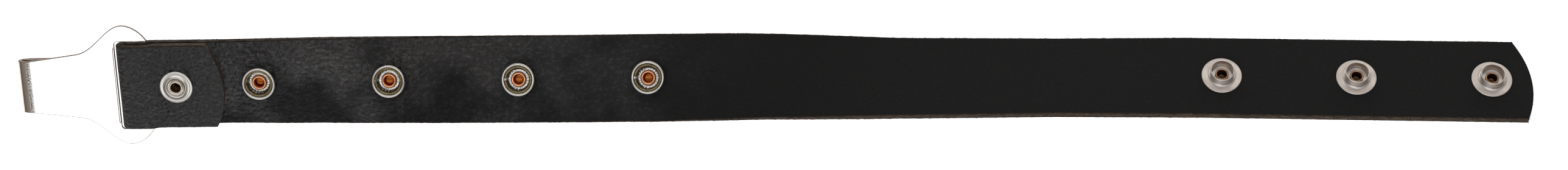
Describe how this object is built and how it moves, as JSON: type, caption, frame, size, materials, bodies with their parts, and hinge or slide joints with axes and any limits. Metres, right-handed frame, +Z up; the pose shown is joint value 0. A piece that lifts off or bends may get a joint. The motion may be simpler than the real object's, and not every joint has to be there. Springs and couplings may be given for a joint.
{
  "type": "leather strap with hook and snap fasteners",
  "caption": "Long black leather strap with a bent nickel hook held in a riveted loop and a row of snap sockets; snap studs on its other end fold over into them to close a loop.",
  "frame": {"origin": "on the table, under the middle of the strap's bounding box", "axes": "+X along the strap from the hook to the free end, +Y across it, +Z up, out of the face that carries the snaps"},
  "size_m": [0.5738, 0.0458, 0.0222],
  "materials": {
    "black_leather": "dyed black, pebbled and glossy at the hook end, brushed matte towards the tail, tan raw edges",
    "hook_nickel": "polished nickel plate on steel",
    "snap_nickel": "polished nickel plate",
    "stud_nickel": "satin nickel plate with bright edges",
    "cap_nickel": "polished nickel plate, domed",
    "spring_wire": "dull olive brass wire",
    "copper_barrel": "bright copper"
  },
  "bodies": {
    "strap_middle": {"strap_socket_4": "black_leather", "socket_4_shell": "snap_nickel", "socket_4_spring": "spring_wire", "socket_4_post": "copper_barrel", "socket_4_cap": "cap_nickel"},
    "strap_third_socket": {"strap_socket_3": "black_leather", "socket_3_shell": "snap_nickel", "socket_3_spring": "spring_wire", "socket_3_post": "copper_barrel", "socket_3_cap": "cap_nickel"},
    "hook_end": {"strap_head": "black_leather", "strap_socket_2": "black_leather", "loop_washer": "snap_nickel", "loop_rivet": "snap_nickel", "loop_rivet_cap": "cap_nickel", "socket_1_shell": "snap_nickel", "socket_1_spring": "spring_wire", "socket_1_post": "copper_barrel", "socket_1_cap": "cap_nickel", "socket_2_shell": "snap_nickel", "socket_2_spring": "spring_wire", "socket_2_post": "copper_barrel", "socket_2_cap": "cap_nickel"},
    "hook": {"hook_plate": "hook_nickel"},
    "fold_length_1": {"strap_fold_1": "black_leather"},
    "fold_length_2": {"strap_fold_2": "black_leather"},
    "fold_length_3": {"strap_fold_3": "black_leather"},
    "fold_length_4": {"strap_fold_4": "black_leather"},
    "fold_length_5": {"strap_fold_5": "black_leather"},
    "fold_length_6": {"strap_fold_6": "black_leather"},
    "fold_length_7": {"strap_fold_7": "black_leather"},
    "fold_length_8": {"strap_fold_8": "black_leather"},
    "fold_length_9": {"strap_fold_9": "black_leather"},
    "fold_length_10": {"strap_fold_10": "black_leather"},
    "fold_length_11": {"strap_fold_11": "black_leather"},
    "fold_length_12": {"strap_fold_12": "black_leather"},
    "fold_length_13": {"strap_fold_13": "black_leather"},
    "fold_length_14": {"strap_fold_14": "black_leather"},
    "fold_length_15": {"strap_fold_15": "black_leather"},
    "tail": {"strap_tail": "black_leather", "stud_1_shell": "stud_nickel", "stud_1_eyelet": "copper_barrel", "stud_1_cap": "cap_nickel", "stud_2_shell": "stud_nickel", "stud_2_eyelet": "copper_barrel", "stud_2_cap": "cap_nickel", "stud_3_shell": "stud_nickel", "stud_3_eyelet": "copper_barrel", "stud_3_cap": "cap_nickel"}
  },
  "joints": [
    {"name": "fold_1", "type": "hinge", "parent": "strap_middle", "child": "fold_length_1", "pos_m": [-0.03498, 0.00285, 0.00377], "axis": [0.3274, 0.9428, -0.0632], "range_deg": [0, 15.53]},
    {"name": "fold_2", "type": "hinge", "parent": "fold_length_1", "child": "fold_length_2", "pos_m": [-0.02185, 0.00304, 0.00427], "axis": [0.3209, 0.9426, -0.0924], "range_deg": [0, 12.82]},
    {"name": "fold_3", "type": "hinge", "parent": "fold_length_2", "child": "fold_length_3", "pos_m": [-0.00871, 0.00322, 0.0054], "axis": [0.8973, 0.4218, 0.1301], "range_deg": [0, 4.65]},
    {"name": "fold_4", "type": "hinge", "parent": "fold_length_3", "child": "fold_length_4", "pos_m": [0.00442, 0.00322, 0.00642], "axis": [0.3852, -0.8515, 0.3557], "range_deg": [0, 7.99]},
    {"name": "fold_5", "type": "hinge", "parent": "fold_length_4", "child": "fold_length_5", "pos_m": [0.01755, 0.00304, 0.0073], "axis": [0.1619, -0.9241, 0.3463], "range_deg": [0, 16.58]},
    {"name": "fold_6", "type": "hinge", "parent": "fold_length_5", "child": "fold_length_6", "pos_m": [0.03069, 0.00286, 0.00816], "axis": [0.0895, -0.9128, 0.3985], "range_deg": [0, 25.42]},
    {"name": "fold_7", "type": "hinge", "parent": "fold_length_6", "child": "fold_length_7", "pos_m": [0.04382, 0.00269, 0.00899], "axis": [0.0617, -0.9066, 0.4174], "range_deg": [0, 33.26]},
    {"name": "fold_8", "type": "hinge", "parent": "fold_length_7", "child": "fold_length_8", "pos_m": [0.05695, 0.00263, 0.00946], "axis": [0.0106, -0.8898, 0.4562], "range_deg": [0, 36.46]},
    {"name": "fold_9", "type": "hinge", "parent": "fold_length_8", "child": "fold_length_9", "pos_m": [0.07009, 0.00268, 0.00967], "axis": [0.0188, -0.8712, 0.4906], "range_deg": [0, 35.63]},
    {"name": "fold_10", "type": "hinge", "parent": "fold_length_9", "child": "fold_length_10", "pos_m": [0.08322, 0.00272, 0.00988], "axis": [0.0216, -0.8635, 0.5038], "range_deg": [0, 31.9]},
    {"name": "fold_11", "type": "hinge", "parent": "fold_length_10", "child": "fold_length_11", "pos_m": [0.09635, 0.00277, 0.01009], "axis": [0.0292, -0.8555, 0.5169], "range_deg": [0, 25.03]},
    {"name": "fold_12", "type": "hinge", "parent": "fold_length_11", "child": "fold_length_12", "pos_m": [0.10949, 0.00281, 0.01029], "axis": [0.0137, -0.8658, 0.5002], "range_deg": [0, 17.23]},
    {"name": "fold_13", "type": "hinge", "parent": "fold_length_12", "child": "fold_length_13", "pos_m": [0.12262, 0.00281, 0.01021], "axis": [-0.0555, -0.8502, 0.5235], "range_deg": [0, 6.36]},
    {"name": "fold_14", "type": "hinge", "parent": "fold_length_13", "child": "fold_length_14", "pos_m": [0.13575, 0.00281, 0.01012], "axis": [-0.1458, 0.846, -0.5128], "range_deg": [0, 2.63]},
    {"name": "fold_15", "type": "hinge", "parent": "fold_length_14", "child": "fold_length_15", "pos_m": [0.14889, 0.00281, 0.01003], "axis": [-0.0431, 0.8576, -0.5126], "range_deg": [0, 9.46]},
    {"name": "fold_16", "type": "hinge", "parent": "fold_length_15", "child": "tail", "pos_m": [0.16202, 0.00281, 0.00994], "axis": [-0.0098, 0.8939, -0.4482], "range_deg": [0, 13.09]},
    {"name": "untwist_near", "type": "hinge", "parent": "strap_middle", "child": "strap_third_socket", "pos_m": [-0.06998, 0.00246, 0.00334], "axis": [-0.9607, -0.2724, 0.0528], "range_deg": [0, 5.71]},
    {"name": "untwist_far", "type": "hinge", "parent": "strap_third_socket", "child": "hook_end", "pos_m": [-0.11998, 0.00216, 0.00405], "axis": [-0.9582, -0.2824, 0.0446], "range_deg": [0, 6.26]},
    {"name": "hook_swing", "type": "hinge", "parent": "hook_end", "child": "hook", "pos_m": [-0.24035, 0.00013, 0.01208], "axis": [0.0047, 0.9367, 0.3502], "range_deg": [-11, 7]}
  ]
}
